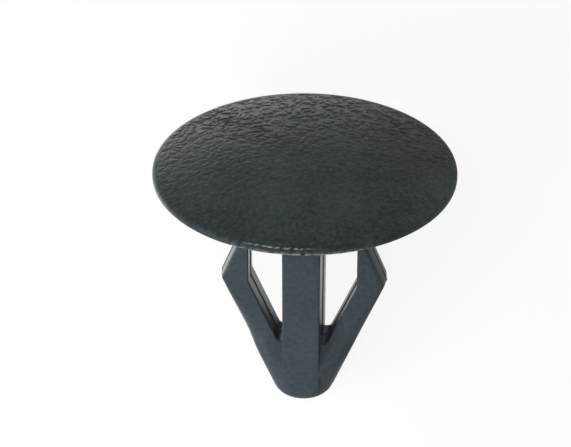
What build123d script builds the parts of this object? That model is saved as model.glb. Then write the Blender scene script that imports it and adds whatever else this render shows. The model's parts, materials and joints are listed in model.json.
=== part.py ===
"""Plastic push rivet: domed head, blade stem, two sprung arrowhead arms and a round nose, as one moulding.

Built upright about its own axis (head up, underside of the rim at z = 0, front face toward -Y),
then laid on its rim edge and nose, which is how it comes to rest on a table. Millimetres.
"""

import os
from math import acos, atan2, cos, degrees, radians, sin, sqrt, tan

from build123d import *

# ---- head -------------------------------------------------------------------------------------
HEAD_D = 18.0            # across the rim
RIM_T = 0.42             # height of the upright edge of the rim
RIM_BEVEL = 0.08         # bevel on the rim's upper and lower edges
DOME_H = 1.25            # rise of the dome above the rim's upper edge
WALL_T = 0.95            # plastic left over the middle of the hollow underside
SEAT_W = 1.4             # width of the flat ring that sits on the trim panel

# ---- shank ------------------------------------------------------------------------------------
SHANK_L = 15.2           # underside of the rim to the end of the nose
BARB_D = 9.94            # across the widest edge of the arms
BARB_DEPTH = 7.0         # underside of the rim to that edge
NOSE_D = 3.18            # across the nose where its end and its cone would meet
BARB_ROUND = 0.2         # rounding of the barb edge, seen from the front
NOSE_ROUND = 0.85        # rounding of the nose edge
WEB_T = 2.0              # thickness of the arms and the body they grow from
ARM_RISE = 3.0           # height of the arms above the barb edge
ARM_LEAN = 1.2           # how far the outside of an arm draws in over that height
ARM_END_W = 0.51         # width left at the free end of an arm
OUTER_ROUND = 0.15       # rounding round the outside of the arms and nose, front and back

# ---- windows between the stem and the arms ----------------------------------------------------
KINK_DROP = 0.2          # barb edge to where the upright inner face of an arm turns inward
NOSE_SOLID = 3.95        # end of the nose to the floor of a window
FLOOR_GAP = 0.39         # floor left between the stem and the sloping face of an arm
KINK_ROUND = 0.6         # easing of the turn in the inner face
FLOOR_ROUND = 0.3        # corner of the floor and the sloping face

# ---- stem -------------------------------------------------------------------------------------
STEM_W = 2.34            # across the stem at the underside of the rim
STEM_T = 3.8             # front to back
STEM_DRAFT = 0.3         # degrees of mould taper on each side face
STEM_ROUND = 0.1         # rounding of its four long edges
ROOT_ROUND = 0.3         # easing where the stem meets the head

# ---- derived ----------------------------------------------------------------------------------
HEAD_R = HEAD_D / 2
HEAD_TOP = RIM_T + DOME_H
DOME_R = (HEAD_R**2 + DOME_H**2) / (2 * DOME_H)
HOLLOW_R = HEAD_R - SEAT_W
HOLLOW_H = HEAD_TOP - WALL_T
STEM_TOP = HEAD_TOP - 0.5 * WALL_T
BARB_R = BARB_D / 2
NOSE_R = NOSE_D / 2
LEAD_SLOPE = (BARB_R - NOSE_R) / (SHANK_L - BARB_DEPTH)
ARM_TOP = BARB_DEPTH - ARM_RISE
ARM_TOP_R = BARB_R - ARM_LEAN
ARM_END_ROUND = 0.3 * ARM_END_W
WINDOW_HALF = ARM_TOP_R - ARM_END_W
KINK_DEPTH = BARB_DEPTH + KINK_DROP
FLOOR_DEPTH = SHANK_L - NOSE_SOLID
STEM_TAPER = tan(radians(STEM_DRAFT))
FLOOR_HALF = STEM_W / 2 - STEM_TAPER * FLOOR_DEPTH + FLOOR_GAP
CLEAR = 1.0              # how far the cutting shapes run past what they cut


def line_profile(points):
    """A closed face in the XZ plane through the points, given as (x, z)."""
    return make_face(Plane.XZ * Polyline(*points, close=True))


def corner_at(face, x, z):
    """The corner of the face nearest (x, z)."""
    return min(face.vertices(), key=lambda v: (v.X - x) ** 2 + (v.Z - z) ** 2)


def round_at(face, x, z, radius):
    """The face with its corner nearest (x, z) rounded."""
    return fillet(corner_at(face, x, z), radius)


def head():
    """Dome, upright rim and the hollow underside inside its flat seat ring."""
    outline = make_face(Plane.XZ * (
        Polyline((0, HEAD_TOP), (0, 0), (HEAD_R, 0), (HEAD_R, RIM_T))
        + RadiusArc((HEAD_R, RIM_T), (0, HEAD_TOP), -DOME_R)
    ))
    for z in (0, RIM_T):
        outline = chamfer(corner_at(outline, HEAD_R, z), RIM_BEVEL)
    hollow_r = (HOLLOW_R**2 + HOLLOW_H**2) / (2 * HOLLOW_H)
    return revolve(outline, Axis.Z) - Pos(0, 0, HOLLOW_H - hollow_r) * Sphere(hollow_r)


def envelope(top, top_r):
    """The body of revolution the shank is cut from, up to height `top` above the rim plane."""
    face = line_profile([
        (0, -SHANK_L), (NOSE_R, -SHANK_L), (BARB_R, -BARB_DEPTH), (top_r, top), (0, top),
    ])
    face = round_at(face, NOSE_R, -SHANK_L, NOSE_ROUND)
    face = round_at(face, BARB_R, -BARB_DEPTH, BARB_ROUND)
    return revolve(face, Axis.Z)


def window():
    """Both windows and the gap over the arms' inner faces, as one prism from front to back."""
    right = [(0, CLEAR), (WINDOW_HALF, CLEAR), (WINDOW_HALF, -KINK_DEPTH), (FLOOR_HALF, -FLOOR_DEPTH)]
    left = [(-x, z) for x, z in reversed(right[1:])]
    face = line_profile(right + left)
    for side in (1, -1):
        face = round_at(face, side * WINDOW_HALF, -KINK_DEPTH, KINK_ROUND)
        face = round_at(face, side * FLOOR_HALF, -FLOOR_DEPTH, FLOOR_ROUND)
    return extrude(face, BARB_D, both=True)


def outer_edges(solid):
    """The long edges round the outside of both arms and the nose, on the front and back faces."""
    curved = (GeomType.HYPERBOLA, GeomType.BSPLINE)
    return [e for e in solid.edges() if e.geom_type in curved and abs(e.center().Y) > 0.45 * WEB_T]


def end_edges(solid):
    """The edges across the free ends of the arms."""
    return [e for e in solid.edges()
            if abs(e.center().Z + ARM_TOP) < 1e-4 and abs(e.center().Y) < 1e-4]


def arms():
    """The flat body with its two arms: the envelope cut to the web's thickness and windowed."""
    slab = Box(2 * BARB_D, WEB_T, 2 * SHANK_L)
    solid = (envelope(-ARM_TOP, ARM_TOP_R) & slab) - window()
    solid = fillet(end_edges(solid), ARM_END_ROUND)
    return fillet(outer_edges(solid), OUTER_ROUND)


def stem():
    """The tapered blade from inside the head to the nose, rounded off by the same envelope."""
    top = Pos(0, 0, STEM_TOP) * Rectangle(STEM_W + 2 * STEM_TOP * STEM_TAPER, STEM_T)
    bottom = Pos(0, 0, -SHANK_L) * Rectangle(STEM_W - 2 * SHANK_L * STEM_TAPER, STEM_T)
    blade = loft([top, bottom])
    uprights = [e for e in blade.edges() if abs(e.center().Z) < 0.4 * SHANK_L + STEM_TOP and
                e.length > 0.9 * SHANK_L]
    return fillet(uprights, STEM_ROUND) & envelope(HEAD_TOP, BARB_R)


def upright():
    """The whole moulding about its own axis."""
    body = head() + stem()
    root = [e for e in body.edges() if 0 < e.center().Z < HOLLOW_H and e.length < 2 * STEM_T
            and abs(e.center().X) < STEM_W and abs(e.center().Y) < STEM_T]
    return fillet(root, ROOT_ROUND) + arms()


def resting_tilt():
    """Degrees the axis rises toward the head when the rim's bevel and the nose both touch the table."""
    rim_y, rim_z = HEAD_R, RIM_BEVEL
    nose_z = NOSE_ROUND - SHANK_L
    nose_y = BARB_R - LEAD_SLOPE * (-nose_z - BARB_DEPTH) - NOSE_ROUND * sqrt(1 + LEAD_SLOPE**2)
    a, b = rim_y - nose_y, rim_z - nose_z
    return degrees(acos(NOSE_ROUND / sqrt(a**2 + b**2)) - atan2(b, a))


def laid_down(solid):
    """The solid lying on its rim edge and nose, its front up, over the middle of the origin."""
    turned = Rot(resting_tilt() - 90, 0, 0) * solid
    box = turned.bounding_box()
    middle = box.center()
    return Pos(-middle.X, -middle.Y, -box.min.Z) * turned, Vector(-middle.X, -middle.Y, -box.min.Z)


def main():
    solid, shift = laid_down(upright())
    os.makedirs("parts", exist_ok=True)
    export_step(solid, "parts/push_rivet.step")
    t = radians(resting_tilt())
    box = solid.bounding_box()
    print("tilt", round(degrees(t), 3), "size", box.size, "min", box.min)
    print("volume", round(solid.volume, 2), "centre", solid.center(CenterOf.MASS))
    print("rim plane centre (mm)", tuple(round(v, 4) for v in shift))
    print("toward the head", (0, round(cos(t), 6), round(sin(t), 6)))


main()
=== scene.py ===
# %% [markdown]
# # A plastic push rivet
# This is a one-piece trim rivet: a domed head with a leather grain, a blade stem, and two sprung
# arms that snap behind a panel. The real one is a single shot of dark polypropylene.
# The solid from CAD has the true sizes. What it doesn't have is what a mould leaves behind: the
# grain on the head, the thin seam where the two halves of the mould met, and edges that are
# softer near the nose than at the barbs. So the rivet is shaped again here in two pieces, the
# head and the shank, on the same sizes, and the two together stand for the solid.
# The rivet can't stand by itself, so it lies on its rim and its nose, and the camera looks down.

import json
from math import atan, atan2, cos, degrees, hypot, pi, radians, sin, sqrt, tan

import bmesh
import bpy
from mathutils import Matrix, Vector, noise


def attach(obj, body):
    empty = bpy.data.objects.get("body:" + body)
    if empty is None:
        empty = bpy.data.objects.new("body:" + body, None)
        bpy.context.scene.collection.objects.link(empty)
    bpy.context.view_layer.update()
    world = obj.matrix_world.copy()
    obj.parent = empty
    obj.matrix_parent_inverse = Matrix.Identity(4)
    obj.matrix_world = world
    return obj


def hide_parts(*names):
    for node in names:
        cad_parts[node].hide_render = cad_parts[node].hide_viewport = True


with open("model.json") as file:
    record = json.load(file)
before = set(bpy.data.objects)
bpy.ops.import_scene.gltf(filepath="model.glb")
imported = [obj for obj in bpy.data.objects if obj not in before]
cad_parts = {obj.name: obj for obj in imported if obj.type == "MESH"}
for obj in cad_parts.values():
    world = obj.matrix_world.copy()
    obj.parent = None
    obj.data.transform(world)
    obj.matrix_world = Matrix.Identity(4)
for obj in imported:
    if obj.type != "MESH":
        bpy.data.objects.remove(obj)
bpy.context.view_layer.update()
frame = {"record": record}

# %% [markdown]
# ## The rivet's own axis
# Every piece is easiest to shape upright, with the head up and the underside of the rim at
# height zero. One matrix then lays it down where the solid lies. The other way would be to turn
# each object, but an object that keeps its turn makes its textures slide when it is exported,
# so the turn goes into the mesh. The solid's seat mount gives the place and the direction.

# %% The matrix from the upright rivet to the table
MM = 0.001
seat = next(m for m in frame["record"]["mounts"] if m["name"] == "seat")
RIM_CENTRE = Vector(seat["pos_m"])
TO_NOSE = Vector(seat["axis"])
TILT = atan2(-TO_NOSE.z, -TO_NOSE.y)
LAY_DOWN = (Matrix.Translation(RIM_CENTRE) @ Matrix.Rotation(TILT - pi / 2, 4, "X")
            @ Matrix.Scale(MM, 4))
print("the axis rises", round(degrees(TILT), 2), "degrees toward the head")


def face_outward(bm):
    """Turns every face of a closed shape outward."""
    bmesh.ops.recalc_face_normals(bm, faces=bm.faces)
    if bm.calc_volume(signed=True) < 0:
        bmesh.ops.reverse_faces(bm, faces=bm.faces)
    return bm


def make_piece(name, bm, material, crease):
    """Turns an upright bmesh in millimetres into a piece that lies on the table.

    Edges that turn by more degrees than crease are shaded sharp.
    """
    bmesh.ops.transform(bm, matrix=LAY_DOWN, verts=bm.verts)
    for face in bm.faces:
        face.smooth = True
    mesh = bpy.data.meshes.new(name)
    bm.to_mesh(mesh)
    bm.free()
    mesh.set_sharp_from_angle(angle=radians(crease))
    mesh.materials.append(material)
    piece = bpy.data.objects.new(name, mesh)
    bpy.context.scene.collection.objects.link(piece)
    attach(piece, "root")
    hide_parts("push_rivet")
    print(name, "has", len(mesh.polygons), "faces")


# %% [markdown]
# ## Writing shader maths as plain expressions
# A node tree is a formula. It could be wired node by node, but that hides the formula, so the
# small class below wraps an output socket, and `cloud * 0.45` or `0.3 + cloud` adds the Math
# node by itself. All other nodes are added by one method.

# %% Classes for socket maths and materials
OBJECT_PLACE = 3                  # output of the Texture Coordinate node
FACTOR = 2                        # output of the Attribute node
MIX_A, MIX_B, MIX_OUT = 6, 7, 2   # colour sockets of the Mix node
CAMERA_RAY, GLOSSY_RAY = 0, 3     # outputs of the Light Path node


class Sock:
    """An output socket that can be added, subtracted and multiplied."""

    def __init__(self, finish, out):
        self.finish, self.out = finish, out

    def _math(self, op, a, b):
        return self.finish.add("ShaderNodeMath", {"operation": op}, {0: a, 1: b})[0]

    def __add__(self, b):
        return self._math("ADD", self, b)

    def __radd__(self, a):
        return self._math("ADD", a, self)

    def __sub__(self, b):
        return self._math("SUBTRACT", self, b)

    def __mul__(self, b):
        return self._math("MULTIPLY", self, b)


class Finish:
    """A material whose nodes are added by one method."""

    def __init__(self, name):
        self.material = bpy.data.materials.new(name)
        self.material.use_nodes = True
        self.nodes = self.material.node_tree.nodes
        self.links = self.material.node_tree.links
        self.shader = self.nodes["Principled BSDF"]
        self.output = self.nodes["Material Output"]

    def add(self, kind, settings=None, values=None):
        """Adds a node with its settings and inputs, and gives its outputs."""
        node = self.nodes.new(kind)
        for name, value in (settings or {}).items():
            if name == "stops":
                ramp = node.color_ramp
                while len(ramp.elements) < len(value):
                    ramp.elements.new(0.5)
                for element, (at, colour) in zip(ramp.elements, value):
                    element.position, element.color = at, colour
            else:
                setattr(node, name, value)
        for name, value in (values or {}).items():
            self.put(node.inputs[name], value)
        return [Sock(self, out) for out in node.outputs]

    def put(self, socket, value):
        """Links a Sock to an input, or sets the input to a plain value."""
        if isinstance(value, Sock):
            self.links.new(value.out, socket)
        else:
            socket.default_value = value

    def set(self, **values):
        """Sets inputs of the Principled shader by name."""
        for name, value in values.items():
            self.put(self.shader.inputs[name.replace("_", " ")], value)


# %% [markdown]
# ## The plastic
# The rivet is dark blue-grey polypropylene with a satin skin from the mould. Its base colour
# wanders a little, in clouds where the plastic flowed and in fine specks, more so on the head. A
# very fine bump breaks the reflections, as an eroded mould does. Where the mesh says so, mostly
# where a thin flash was torn off, the rim's edges are painted pale: partly the scuff of the torn
# flash and partly a painted highlight where the edges catch the light. That is kept in the mesh
# and not in a picture, so that it stays on its edge.

# %% Make the plastic
CLOUD_SCALE, SPECK_SCALE = 260.0, 4200.0
CLOUD_SHARE, SPECK_SHARE = 0.45, 0.55
DARK_AT, LIGHT_AT = 0.38, 0.62
# pale colour for the scuff of the torn flash and for a painted highlight on the rim's edges
SCUFF_AND_HIGHLIGHT_COLOUR = (0.27, 0.30, 0.31, 1)
BUMP_DISTANCE = 0.00003
ROUGHNESS_SWING = 0.12


def plastic(name, colour, roughness, fine_bump, mottle):
    """A satin plastic whose colour wanders by the share mottle."""
    f = Finish(name)
    place = f.add("ShaderNodeTexCoord")[OBJECT_PLACE]
    cloud = f.add("ShaderNodeTexNoise", None,
                  {"Vector": place, "Scale": CLOUD_SCALE, "Detail": 3.0})[0]
    speck = f.add("ShaderNodeTexNoise", None,
                  {"Vector": place, "Scale": SPECK_SCALE, "Detail": 2.0})[0]
    dark = [c * (1 - mottle) for c in colour] + [1]
    light = [c * (1 + mottle) for c in colour] + [1]
    tone = f.add("ShaderNodeValToRGB", {"stops": [(DARK_AT, dark), (LIGHT_AT, light)]},
                 {"Fac": cloud * CLOUD_SHARE + speck * SPECK_SHARE})[0]
    # the pale mix is partly scuff and partly a painted highlight along the rim's edges
    scuff = f.add("ShaderNodeAttribute", {"attribute_name": "scuff"})[FACTOR]
    pale = f.add("ShaderNodeMix", {"data_type": "RGBA"},
                 {0: scuff, MIX_A: tone, MIX_B: SCUFF_AND_HIGHLIGHT_COLOUR})[MIX_OUT]
    bump = f.add("ShaderNodeBump", None,
                 {"Strength": fine_bump, "Distance": BUMP_DISTANCE, "Height": speck})[0]
    f.set(Base_Color=pale, Roughness=roughness + (cloud - 0.5) * ROUGHNESS_SWING, Normal=bump)
    print(name, "has", len(f.nodes), "nodes")
    return f.material


shank_plastic = plastic("satin_polypropylene", (0.039, 0.052, 0.061), 0.30, 0.08, 0.16)
# the head's copy gets a darker base colour than the shank's: painted shade, as both are the one
# polypropylene
grain_plastic = plastic("grained_polypropylene", (0.027, 0.038, 0.041), 0.34, 0.9, 0.42)

# %% [markdown]
# ## Sizes of the rivet
# These are the sizes of the solid, in millimetres, with the depth measured down from the rim.
# They could be measured from its mesh, but a written list is easier to read and to change. Only
# the seam is new: it is a low ridge round the middle of every side face.

# %% Sizes
HEAD_R, RIM_T, DOME_H = 9.0, 0.42, 1.25
DOME_R = (HEAD_R**2 + DOME_H**2) / (2 * DOME_H)
HOLLOW_R, HOLLOW_H, WALL_T = 7.6, 0.72, 0.95
SHANK_L, NOSE_R, NOSE_ROUND = 15.2, 1.59, 0.85
BARB_R, BARB_DEPTH, BARB_ROUND = 4.97, 7.0, 0.2
ARM_TOP, ARM_TOP_R, ARM_END_ROUND = 4.0, 3.77, 0.153
WINDOW_HALF, KINK_DEPTH, KINK_ROUND = 3.26, 7.2, 0.6
FLOOR_HALF, FLOOR_DEPTH, FLOOR_ROUND = 1.50, 11.25, 0.3
WEB_HALF, STEM_HALF_W, STEM_HALF_T, STEM_TAPER = 1.0, 1.17, 1.9, tan(radians(0.3))
SEAM_H, SEAM_W = 0.05, 0.07
print("the head is", 2 * HEAD_R, "mm across and the shank", SHANK_L, "mm long")


def step(x, low, high):
    """0 below low, 1 above high, and a smooth rise between them."""
    t = min(1.0, max(0.0, (x - low) / (high - low)))
    return t * t * (3 - 2 * t)


def seam(y):
    """How far the mould's seam stands out of a side face at a distance from the middle plane."""
    return SEAM_H * max(0.0, 1 - abs(y) / SEAM_W)


# %% [markdown]
# ## The outline of the arms
# Seen from the front, the arms and the nose are one flat piece with a window on each side of the
# stem. Its outline is straight lines with rounded corners. A bevel could round them afterwards,
# but here each corner has its own radius, so the helper below walks the corners and puts an arc
# in each.

# %% Draw the outline
def rounded(corners, spacing=0.3, arc_steps=6):
    """Points along the lines through corners (x, depth, radius), with an arc at each corner."""
    points = [Vector(corners[0][:2])]
    for (ax, az, _), (bx, bz, r), (cx, cz, _) in zip(corners, corners[1:], corners[2:]):
        a, b, c = Vector((ax, az)), Vector((bx, bz)), Vector((cx, cz))
        into, out = (a - b).normalized(), (c - b).normalized()
        half = into.angle(out) / 2
        run = r / tan(half)
        centre = b + (into + out).normalized() * (r / sin(half))
        start, end = b + into * run, b + out * run
        points += line(points[-1], start, spacing)
        turned = (start - centre).angle_signed(end - centre)
        for i in range(arc_steps + 1):
            points.append(centre + Matrix.Rotation(-turned * i / arc_steps, 2) @ (start - centre))
    points += line(points[-1], Vector(corners[-1][:2]), spacing)
    return points + [Vector(corners[-1][:2])]


def line(a, b, spacing):
    """Points between two points, without the ends."""
    n = int((b - a).length / spacing)
    return [a.lerp(b, i / (n + 1)) for i in range(1, n + 1)]


ARM_END = ((ARM_TOP_R + WINDOW_HALF) / 2, ARM_TOP, 0)
outer_half = rounded([
    (0, SHANK_L, 0), (NOSE_R, SHANK_L, NOSE_ROUND), (BARB_R, BARB_DEPTH, BARB_ROUND),
    (ARM_TOP_R, ARM_TOP, ARM_END_ROUND), ARM_END,
])
inner_half = rounded([
    ARM_END, (WINDOW_HALF, ARM_TOP, ARM_END_ROUND), (WINDOW_HALF, KINK_DEPTH, KINK_ROUND),
    (FLOOR_HALF, FLOOR_DEPTH, FLOOR_ROUND), (0, FLOOR_DEPTH, 0),
])
right_half = [(p, True) for p in outer_half] + [(p, False) for p in inner_half[1:]]
left_half = [(Vector((-p.x, p.y)), outside) for p, outside in reversed(right_half[1:-1])]
outline = right_half + left_half
print("the outline has", len(outline), "points")


# %% [markdown]
# ## The envelope
# The envelope is the body of revolution that the arms and the nose are turned to. It could be a
# mesh that cuts the others, but a cut leaves ragged edges at so fine a scale. As two functions
# of the same corners, it moves each point to its exact place instead.

# %% The envelope
LEAD_SLOPE = (BARB_R - NOSE_R) / (SHANK_L - BARB_DEPTH)
LEAD_ANGLE = atan(LEAD_SLOPE)
NOSE_FLAT = NOSE_R - NOSE_ROUND * tan((pi / 2 - LEAD_ANGLE) / 2)
NOSE_CENTRE = SHANK_L - NOSE_ROUND


def envelope_r(depth):
    """Radius of the turned nose and cone at a depth."""
    if depth > NOSE_CENTRE + NOSE_ROUND * sin(LEAD_ANGLE):
        return NOSE_FLAT + sqrt(max(0.0, NOSE_ROUND**2 - (depth - NOSE_CENTRE) ** 2))
    return BARB_R + LEAD_SLOPE * (BARB_DEPTH - depth)


def envelope_depth(r):
    """Depth of the end of the nose at a distance from the axis."""
    return NOSE_CENTRE + sqrt(max(0.0, NOSE_ROUND**2 - max(0.0, r - NOSE_FLAT) ** 2))


print("the cone leans", round(degrees(LEAD_ANGLE), 1), "degrees")
print("it ends", round(NOSE_CENTRE, 2), "mm down")


# %% [markdown]
# ## A tube through rings
# The arms and the stem are built alike. A ring of points is extruded again and again, and each
# new ring is moved to its own places, which keeps one clean grid of quads from end to end. A
# lofted curve would do it too, but then the points would not sit exactly on the roundings.

# %% Build a tube
def tube(rings):
    """A closed tube through rings of points, all with the same number of points."""
    bm = bmesh.new()
    ring = [bm.verts.new(p) for p in rings[0]]
    count = len(ring)
    edges = [bm.edges.new((ring[i], ring[(i + 1) % count])) for i in range(count)]
    first = list(edges)
    index = {v: i for i, v in enumerate(ring)}
    for places in rings[1:]:
        made = bmesh.ops.extrude_edge_only(bm, edges=edges)["geom"]
        edges = [g for g in made if isinstance(g, bmesh.types.BMEdge)
                 and all(v not in index for v in g.verts)]
        new_index = {}
        for v in (g for g in made if isinstance(g, bmesh.types.BMVert)):
            old = next(e.other_vert(v) for e in v.link_edges if e.other_vert(v) in index)
            new_index[v] = index[old]
        for v, i in new_index.items():
            v.co = places[i]
        index = new_index
    for loop in (first, edges):
        bmesh.ops.contextual_create(bm, geom=loop)
    return bm


# %% [markdown]
# ## The arms
# The outline is pushed through the thickness in layers, which lie closer together toward the
# front and back faces. In each layer the outer edge follows the turned envelope and the edge
# roundings, which are small at the barbs and grow toward the nose. In the middle layer everything
# stands out a little: that is the seam of the mould. The arms are made flat first. Cuts across
# them then carry the swelling toward the nose, because a long flat face can't bend.

# %% Shape the arms
LAYERS = 11
SEAM_CLEAR = 0.12                                     # no other layer this near the middle
EDGE_ROUND, EDGE_WIDER, EDGE_HIGHER = 0.15, 0.75, 0.55
EDGE_FULL = 11.0                                      # depth where the rounding is largest
EDGE_EASE, EDGE_EASE_FROM, EDGE_EASE_TO = 0.75, 13.8, 15.0
INNER_ROUND = 0.1
LEAST_SHARE = 0.3                                     # of its distance that a point always keeps
TUCK, TUCK_FROM, TUCK_TO = 0.3, 0.45, 0.7             # keeps the web inside the end of the stem
SWELL, SWELL_FROM, SWELL_TO = 0.73, 10.8, 12.8
CUTS, CUT_SPACING, CUT_TOLERANCE = 16, 0.25, 1e-5
CAP_CORNERS, CAP_INSET = 20, 0.02
ARM_WELD = 1e-4


def outer_rounding(depth):
    """Width and height of the rounding along the outside of an arm."""
    grow = step(depth, BARB_DEPTH, EDGE_FULL)
    grow -= EDGE_EASE * step(depth, EDGE_EASE_FROM, EDGE_EASE_TO)
    return EDGE_ROUND + EDGE_WIDER * grow, EDGE_ROUND + EDGE_HIGHER * grow


def web_half(depth):
    """Half the thickness of the arms, which swell into the nose."""
    return WEB_HALF + SWELL * step(depth, SWELL_FROM, SWELL_TO)


def ellipse_drop(t):
    """How far a quarter circle of radius 1 has fallen at t, from 0 at 0 to 1 at 1."""
    return 1 - sqrt(max(0.0, 1 - t * t))


def edge_drop(u, height):
    """The same for an edge rounding that takes the share height of the half thickness."""
    start = 1 - height
    return ellipse_drop(max(0.0, abs(u) - start) / (1 - start))


def arm_point(p, inward, outside, u):
    """Where an outline point goes in the layer u, from -1 at the front to 1 at the back."""
    y = u * web_half(p.y)
    x, depth = p.x, p.y
    side = 1 if x >= 0 else -1
    if outside:
        wide, high = outer_rounding(depth)
        drop = wide * edge_drop(u, high / web_half(depth))
        if depth > NOSE_CENTRE and abs(x) < abs(y):
            depth = min(depth, envelope_depth(abs(y)))
        x = side * max(LEAST_SHARE * abs(x), sqrt(max(0.0, x * x - y * y)) - drop + seam(y))
    else:
        drop = INNER_ROUND * edge_drop(u, INNER_ROUND / WEB_HALF) - seam(y)
        x, depth = x + inward.x * drop, depth + inward.y * drop
    tuck = TUCK * (1 - step(abs(x), TUCK_FROM, TUCK_TO)) if depth > NOSE_CENTRE else 0.0
    return Vector((x, u * WEB_HALF, -(depth - tuck)))


def swell(bm):
    """Cuts the flat arms across near the nose, then swells them to their thickness there."""
    for k in range(CUTS):
        geometry = bm.verts[:] + bm.edges[:] + bm.faces[:]
        cut = Vector((0, 0, -(SWELL_FROM + CUT_SPACING * k)))
        bmesh.ops.bisect_plane(bm, geom=geometry, dist=CUT_TOLERANCE, plane_co=cut,
                               plane_no=(0, 0, 1))
    for v in bm.verts:
        v.co.y *= web_half(-v.co.z) / WEB_HALF


def arms():
    """The flat body with its two arms."""
    us = [-cos(pi / 2 * k / LAYERS) for k in range(LAYERS)]
    us = [u for u in us if u < -SEAM_CLEAR] + [-SEAM_W, 0.0]
    us += [-u for u in reversed(us[:-1])]
    inwards = []
    for i in range(len(outline)):
        along = (outline[(i + 1) % len(outline)][0] - outline[i - 1][0]).normalized()
        inwards.append(Vector((along.y, -along.x)))
    bm = tube([[arm_point(p, n, o, u) for (p, o), n in zip(outline, inwards)] for u in us])
    bmesh.ops.remove_doubles(bm, verts=bm.verts, dist=ARM_WELD)
    caps = [f for f in bm.faces if len(f.verts) > CAP_CORNERS]
    bmesh.ops.inset_individual(bm, faces=caps, thickness=CAP_INSET, use_even_offset=True)
    swell(bm)
    return face_outward(bm)


# %% [markdown]
# ## The stem
# The stem is a blade with a draft, so that it leaves the mould. A bevelled box would be quicker,
# but it has no end that fits the nose. So the stem is pulled down ring by ring. Each ring is a
# rounded rectangle, drawn in where it would leave the envelope, so the lower end turns into the
# round nose by itself. At the top it flares into the hollow of the head.

# %% Shape the stem
STEM_TOP = RIM_T + DOME_H - WALL_T / 2
ROOT_ROUND, ROOT_Z, ROOT_STEPS = 0.3, 0.66, 5
STEM_ROUND, CORNER_STEPS = 0.10, 5
SIDE_STOPS, FRONT_STOPS = (0.35, 0.75), (0.66, 0.33)   # shares of the flat faces
THINNER, THINNER_FROM, THINNER_TO = 0.16, 11.8, 13.0   # the blade thins into the nose
CRISPER, CRISPER_FROM, CRISPER_TO = 0.04, 11.0, 12.6   # and its long edges get crisper
BLADE_STEP, BLADE_RINGS = 1.5, range(1, 8)
CONE_TOP, CONE_STEP, CONE_RINGS = 11.0, 0.2, range(5, 17)
NOSE_STEPS, NO_LIMIT = 10, 100.0


def stem_section(w, t, r):
    """Points round a rounded rectangle of half width w and half thickness t."""
    quarter = [(w + seam(y), y) for y in [0.0, SEAM_W] + [share * (t - r) for share in SIDE_STOPS]]
    for i in range(CORNER_STEPS + 1):
        a = pi / 2 * i / CORNER_STEPS
        quarter.append((w - r + r * cos(a), t - r + r * sin(a)))
    quarter += [(share * (w - r), t) for share in FRONT_STOPS]
    points = quarter + [(0.0, t)] + [(-x, y) for x, y in reversed(quarter)]
    return points + [(x, -y) for x, y in reversed(points[1:-1])]


def stem_ring(z):
    """The stem's points at a height, kept inside the envelope."""
    depth = -z
    flare = 0.0
    if z > ROOT_Z - ROOT_ROUND:
        flare = ROOT_ROUND * ellipse_drop(min(1.0, (z - ROOT_Z + ROOT_ROUND) / ROOT_ROUND))
    w = STEM_HALF_W - STEM_TAPER * depth + flare
    t = STEM_HALF_T - THINNER * step(depth, THINNER_FROM, THINNER_TO) + flare
    r = STEM_ROUND - CRISPER * step(depth, CRISPER_FROM, CRISPER_TO) + flare
    limit = envelope_r(depth) if depth > BARB_DEPTH else NO_LIMIT
    points = []
    for x, y in stem_section(w, t, r):
        k = min(1.0, limit / hypot(x, y))
        points.append(Vector((x * k, y * k, z)))
    return points


def stem_heights():
    """Heights of the stem's rings, from inside the head to the end of the nose."""
    eases = [1 - cos(pi / 2 * k / ROOT_STEPS) for k in range(ROOT_STEPS + 1)]
    root = [ROOT_Z - ROOT_ROUND * ease for ease in eases]
    blade = [-BLADE_STEP * k for k in BLADE_RINGS]
    cone = [-CONE_TOP - CONE_STEP * k for k in CONE_RINGS]
    turns = [LEAD_ANGLE + (pi / 2 - LEAD_ANGLE) * k / NOSE_STEPS for k in range(NOSE_STEPS + 1)]
    nose = [-NOSE_CENTRE - NOSE_ROUND * sin(turn) for turn in turns]
    return sorted({STEM_TOP, *root, *blade, *cone, *nose}, reverse=True)


def stem():
    """The blade from inside the head to the end of the nose."""
    return face_outward(tube([stem_ring(z) for z in stem_heights()]))


# %% [markdown]
# ## The shank
# The arms and the stem are one moulding, so they are joined into one skin by a boolean. Two
# meshes pushed into each other would look the same from outside, but they would leave hidden
# faces and a false edge where they cross.

# %% Join the arms and the stem
WELD, SLIVER = 2e-4, 1e-4
SPREAD = Vector((0.5437, 0.3191, 0.7762))     # a slanted direction, along which few points tie


def steady_order(bm):
    """Sorts points and faces by place, because the boolean's own order changes from run to run."""
    bm.verts.sort(key=lambda v: v.co.dot(SPREAD))
    bm.faces.sort(key=lambda f: f.calc_center_median().dot(SPREAD))
    bm.verts.index_update()
    bm.faces.index_update()


def joined(bm_a, bm_b):
    """One closed skin round both shapes."""
    helpers = []
    for bm in (bm_a, bm_b):
        mesh = bpy.data.meshes.new("helper")
        bm.to_mesh(mesh)
        bm.free()
        helpers.append(bpy.data.objects.new("helper", mesh))
        bpy.context.scene.collection.objects.link(helpers[-1])
    union = helpers[0].modifiers.new("union", "BOOLEAN")
    union.operation, union.solver, union.object = "UNION", "EXACT", helpers[1]
    bpy.context.view_layer.update()
    done = helpers[0].evaluated_get(bpy.context.evaluated_depsgraph_get())
    bm = bmesh.new()
    bm.from_mesh(done.to_mesh())
    steady_order(bm)
    bmesh.ops.remove_doubles(bm, verts=bm.verts, dist=WELD)
    bmesh.ops.dissolve_degenerate(bm, edges=bm.edges, dist=SLIVER)
    for helper in helpers:
        mesh = helper.data
        bpy.data.objects.remove(helper)
        bpy.data.meshes.remove(mesh)
    return bm


make_piece("shank", joined(arms(), stem()), shank_plastic, crease=32)

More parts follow.
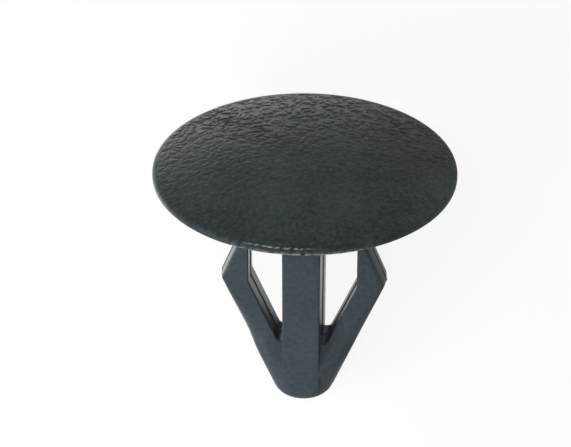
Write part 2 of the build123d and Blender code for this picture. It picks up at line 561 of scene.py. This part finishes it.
# %% [markdown]
# ## The head
# The head carries the grain of the trim around it. A bump map would do from afar, but the grain
# shows at the far edge, where only real relief keeps its shape, so it is modelled. An even square
# grid is pressed into a disc and lifted to the dome, and each vertex is raised by the grain. The
# islands are the cells of a Voronoi pattern, with valleys along the borders between the cells. A
# slow noise closes some of the valleys, so that islands merge. The noise that bends the borders
# takes its start from a seed, which is set so that each run gives the same grain.

# %% The grain
SEED = 7
SKIN_R = 8.82                                 # where the grained skin ends
GRID = 264
GRAIN_SIZE, GRAIN_H = 0.60, 0.070
WARP, WARP_SCALE, WARP_SHIFT = 0.20, 2.2, 3.1
MERGING, MERGING_SCALE, MERGING_SHIFT = 0.22, 0.8, Vector((5, 1, 2))
VALLEY, ISLAND = 0.02, 0.30                   # border distances at the foot and top of an island
FINE, FINE_SCALE, FINE_SHIFT = 0.16, 7, 1.0
FADE_W = 0.25                                 # the grain dies out toward the rim over this width
NEAR_SHARE, FAR_SHARE = 0.34, 0.66            # it is shallower on the front half
NEAR_Y, FAR_Y = -1.0, 6.0
noise.seed_set(SEED)


def dome_z(r):
    """Height of the dome over the rim plane at a distance from the axis."""
    return RIM_T + DOME_H - DOME_R + sqrt(DOME_R**2 - r * r)


def square_to_disc(x, y):
    """Moves a point of the square -1..1 into the unit disc, keeping areas even."""
    if x == 0 and y == 0:
        return 0.0, 0.0
    if abs(x) > abs(y):
        r, a = x, (pi / 4) * (y / x)
    else:
        r, a = y, pi / 2 - (pi / 4) * (x / y)
    return r * cos(a), r * sin(a)


def grain(x, y):
    """Height of the grain, about 0 in a valley and 1 on top of an island."""
    warp = noise.noise_vector(Vector((x * WARP_SCALE, y * WARP_SCALE, WARP_SHIFT))) * WARP
    p = (Vector((x, y, 0)) + warp) / GRAIN_SIZE
    near, next_near = noise.voronoi(p)[0][:2]
    wave = (next_near - near) + MERGING * noise.noise(p * MERGING_SCALE + MERGING_SHIFT)
    island = step(wave, VALLEY, ISLAND)
    fine = FINE * noise.noise(Vector((x * FINE_SCALE, y * FINE_SCALE, FINE_SHIFT)))
    return island + fine


# %% [markdown]
# ## The rim and the hollow underside
# The edge of the grid is extruded ring by ring, over the rim and into the hollow. A separate disc
# would leave a gap along the edge. Where the flash was torn off, the upper edge is ragged, and
# both edges carry a pale mark that the plastic shows: partly the scuff of the torn flash and
# partly a painted highlight where the edges catch the light.

# %% Shape the head
# Each ring is a radius, a height and how pale it is painted, for scuff and for a painted
# highlight.
RIM_RINGS = [
    (8.87, RIM_T + 0.02, 0.0), (8.90, RIM_T, 1.0), (8.93, RIM_T - 0.025, 0.8),
    (8.955, RIM_T - 0.05, 0.0), (8.985, RIM_T - 0.10, 0.0), (9.0, RIM_T - 0.17, 0.0),
    (9.0, 0.12, 0.3), (8.995, 0.07, 0.9), (8.975, 0.03, 1.0), (8.94, 0.0, 0.6), (8.88, 0.0, 0.0),
    (HOLLOW_R, 0.0, 0.0),
]
HOLLOW_STEPS = 8
RIM_MIDDLE = 0.2                              # height between the upper and the lower edge
FLASH_AND_HIGHLIGHT_TOP, FLASH_AND_HIGHLIGHT_LOW = radians(-94), radians(-86)   # its middle at the upper and the lower edge
FLASH_AND_HIGHLIGHT_EVERYWHERE, FLASH_AND_HIGHLIGHT_MORE = 0.03, 0.97
FLASH_AND_HIGHLIGHT_FROM, FLASH_AND_HIGHLIGHT_TO = 0.14, 0.26             # radians to each side of its middle
LOW_FLASH_AND_HIGHLIGHT, LOW_FROM, LOW_TO = 0.75, 0.38, 0.55
TEAR, TEAR_FROM_R, TEAR_RISE = 0.12, 8.87, 2.5
RAG_SCALE, RAG_SHIFT = 30, 4.0
BREAK_SCALE, BREAK_DOWN = 36, 9
BREAK_LOW, BREAK_HIGH = -0.45, 0.30


def hollow_rings():
    """Rings of the hollow, which is part of a ball."""
    hollow_r = (HOLLOW_R**2 + HOLLOW_H**2) / (2 * HOLLOW_H)
    for i in range(1, HOLLOW_STEPS):
        r = HOLLOW_R * (1 - i / HOLLOW_STEPS)
        yield r, HOLLOW_H - hollow_r + sqrt(hollow_r**2 - r * r), 0.0


def flash_and_highlight_patch(a, z):
    """How much of the torn flash and its painted highlight lies at an angle round the rim, from 0
    to 1.
    """
    upper = z > RIM_MIDDLE
    off = abs((a - (FLASH_AND_HIGHLIGHT_TOP if upper else FLASH_AND_HIGHLIGHT_LOW) + pi) % (2 * pi) - pi)
    patch = FLASH_AND_HIGHLIGHT_EVERYWHERE + FLASH_AND_HIGHLIGHT_MORE * (1 - step(off, FLASH_AND_HIGHLIGHT_FROM, FLASH_AND_HIGHLIGHT_TO))
    return patch if upper else max(patch, LOW_FLASH_AND_HIGHLIGHT * (1 - step(off, LOW_FROM, LOW_TO)))


def grained_skin():
    """The dome with its grain, as an open sheet."""
    bm = bmesh.new()
    bmesh.ops.create_grid(bm, x_segments=GRID, y_segments=GRID, size=1)
    for v in bm.verts:
        x, y = square_to_disc(v.co.x, v.co.y)
        x, y = x * SKIN_R, y * SKIN_R
        r = hypot(x, y)
        fade = step(SKIN_R - r, 0.0, FADE_W)
        depth = GRAIN_H * fade * (NEAR_SHARE + FAR_SHARE * step(y, NEAR_Y, FAR_Y))
        v.co = (x, y, dome_z(r) + depth * (grain(x, y) - 0.5))
    return bm


def head():
    """The grained skin, carried on over the rim and closed by the hollow underside."""
    bm = grained_skin()
    scuff = bm.verts.layers.float.new("scuff")
    rim = [e for e in bm.edges if e.is_boundary]
    for r, z, wear_and_highlight in RIM_RINGS + list(hollow_rings()):
        made = bmesh.ops.extrude_edge_only(bm, edges=rim)["geom"]
        ring = [g for g in made if isinstance(g, bmesh.types.BMVert)]
        rim = [g for g in made if isinstance(g, bmesh.types.BMEdge) and g.is_boundary]
        for v in ring:
            a = atan2(v.co.y, v.co.x)
            rag = noise.noise(Vector((cos(a) * RAG_SCALE, sin(a) * RAG_SCALE, RAG_SHIFT)))
            broken = Vector((cos(a) * BREAK_SCALE, sin(a) * BREAK_SCALE, BREAK_DOWN * z))
            break_up = noise.noise(broken)
            patch = flash_and_highlight_patch(a, z)
            torn = TEAR * rag * patch * min(1.0, TEAR_RISE * z) if r > TEAR_FROM_R else 0.0
            v.co = (r * cos(a), r * sin(a), max(0.0, z + torn))
            # the pale mark on the lips: scuff of the torn flash and a painted highlight
            v[scuff] = wear_and_highlight * step(break_up, BREAK_LOW, BREAK_HIGH) * patch
    bmesh.ops.contextual_create(bm, geom=rim)
    return face_outward(bm)


make_piece("head", head(), grain_plastic, crease=180)

# %% [markdown]
# ## The floor
# The floor is a plain sheet. The camera sees it nearly white, while the rivet is lit by what a
# pale grey sheet throws back, so its dark plastic doesn't wash out. In reflections the sheet is
# dim, but for a bright patch to the left of the rivet, which gives the side faces their light. A
# second lamp could do that, but it would put a hard line along the rim.

# %% Floor
FLOOR_SIZE = 1.5
PAPER = (0.8, 0.8, 0.8, 1)
SEEN_WHITE = 0.88                             # share of plain white in what the camera sees
PATCH_AT, PATCH_SHAPE = (-0.0105, 0.003, 0), (0.6, 1, 1)
PATCH_FROM, PATCH_TO = 0.006, 0.018
PATCH_BRIGHT, PATCH_DIM = 1.5, 0.30

floor_bm = bmesh.new()
bmesh.ops.create_grid(floor_bm, x_segments=1, y_segments=1, size=FLOOR_SIZE)
floor_mesh = bpy.data.meshes.new("floor")
floor_bm.to_mesh(floor_mesh)
floor_bm.free()
floor = bpy.data.objects.new("floor", floor_mesh)
bpy.context.scene.collection.objects.link(floor)
paper = Finish("white_paper")
paper.set(Base_Color=PAPER, Roughness=0.9, Specular_IOR_Level=0.1)
rays = paper.add("ShaderNodeLightPath")
to_camera, to_gloss = rays[CAMERA_RAY], rays[GLOSSY_RAY]
place = paper.add("ShaderNodeTexCoord")[OBJECT_PLACE]
squeezed = paper.add("ShaderNodeVectorMath", {"operation": "MULTIPLY"},
                     {0: place, 1: PATCH_SHAPE})[0]
away = paper.add("ShaderNodeVectorMath", {"operation": "DISTANCE"},
                 {0: squeezed, 1: PATCH_AT})[1]
patch_light = paper.add("ShaderNodeMapRange", {"interpolation_type": "SMOOTHSTEP"}, {
    "Value": away, "From Min": PATCH_FROM, "From Max": PATCH_TO,
    "To Min": PATCH_BRIGHT, "To Max": PATCH_DIM,
})[0]
glow = paper.add("ShaderNodeEmission", None, {
    "Color": (1, 1, 1, 1), "Strength": to_camera + to_gloss * patch_light,
})[0]
both = paper.add("ShaderNodeMixShader", None,
                 {0: to_camera * SEEN_WHITE + to_gloss, 2: glow})[0]
paper.put(both.out.node.inputs[1], Sock(paper, paper.shader.outputs[0]))
paper.put(paper.output.inputs["Surface"], both)
floor_mesh.materials.append(paper.material)
print("the floor is", 2 * FLOOR_SIZE, "m across")

# %% [markdown]
# ## The light
# A white world lights the rivet evenly from all sides, and is dimmer in reflections. Two large
# soft lamps add a direction: one low on the left and one high overhead. They are hidden from
# reflections, where they would show as hard bright shapes on the smooth rim.

# %% World and lamps
WORLD_LIGHT, WORLD_IN_GLOSS = 0.4, 0.2

world = bpy.data.worlds.new("studio")
bpy.context.scene.world = world
world.use_nodes = True
sky = world.node_tree.nodes["Background"]
sky.inputs["Color"].default_value = (1, 1, 1, 1)
gloss_ray = world.node_tree.nodes.new("ShaderNodeLightPath")
level = world.node_tree.nodes.new("ShaderNodeMapRange")
level.inputs["To Min"].default_value = WORLD_LIGHT
level.inputs["To Max"].default_value = WORLD_IN_GLOSS
world.node_tree.links.new(gloss_ray.outputs["Is Glossy Ray"], level.inputs["Value"])
world.node_tree.links.new(level.outputs[0], sky.inputs["Strength"])


def soft_lamp(name, at, look, size, power):
    """A square lamp that the camera and the reflections don't see."""
    data = bpy.data.lights.new(name, "AREA")
    data.size, data.energy = size, power
    lamp = bpy.data.objects.new(name, data)
    lamp.location = at
    lamp.visible_camera = False
    lamp.visible_glossy = False
    lamp.rotation_euler = (Vector(look) - Vector(at)).to_track_quat("-Z", "Y").to_euler()
    bpy.context.scene.collection.objects.link(lamp)
    print(name, "gives", power, "W")


soft_lamp("left_softbox", (-0.042, -0.020, 0.034), (0, 0, 0.006), 0.035, 0.031)
soft_lamp("front_fill", (0.004, 0.014, 0.15), (0, 0, 0.008), 0.05, 0.085)

# %% [markdown]
# ## The camera
# The camera stands 31 degrees above the plane of the rim and 6 degrees round to the right, as
# seen from the front of the upright rivet. It is placed by the rivet's own axes and then laid
# down with it, so the view stays right however the rivet rests. The shift of the lens puts the
# middle of the rim where it belongs in the picture, without turning the camera.

# %% Camera
ELEVATION, AZIMUTH, ROLL = radians(31.08), radians(6.0), radians(0.34)
DISTANCE, PX_PER_MM, CENTRE_PX, SIZE_PX = 200.0, 16.946, (304.8, 174.2), (571, 447)
SENSOR = 36

toward = Vector((sin(AZIMUTH) * cos(ELEVATION), -cos(AZIMUTH) * cos(ELEVATION), sin(ELEVATION)))
right = Vector((cos(AZIMUTH), sin(AZIMUTH), 0))
up = toward.cross(right)
right, up = right * cos(ROLL) + up * sin(ROLL), up * cos(ROLL) - right * sin(ROLL)
turn = LAY_DOWN.to_3x3().normalized()
axes = [turn @ v for v in (right, up, toward)]
camera_data = bpy.data.cameras.new("camera")
camera_data.sensor_width = SENSOR
camera_data.lens = DISTANCE * PX_PER_MM / SIZE_PX[0] * SENSOR
camera_data.shift_x = (SIZE_PX[0] / 2 - CENTRE_PX[0]) / SIZE_PX[0]
camera_data.shift_y = (CENTRE_PX[1] - SIZE_PX[1] / 2) / SIZE_PX[0]
camera_data.clip_start, camera_data.clip_end = 0.01, 10
camera = bpy.data.objects.new("camera", camera_data)
camera_at = Matrix.Translation(RIM_CENTRE + axes[2] * DISTANCE * MM)
camera.matrix_world = camera_at @ Matrix(axes).transposed().to_4x4()
bpy.context.scene.collection.objects.link(camera)
bpy.context.scene.camera = camera
bpy.context.scene.view_settings.view_transform = "Standard"
print("the lens is", round(camera_data.lens), "mm long")
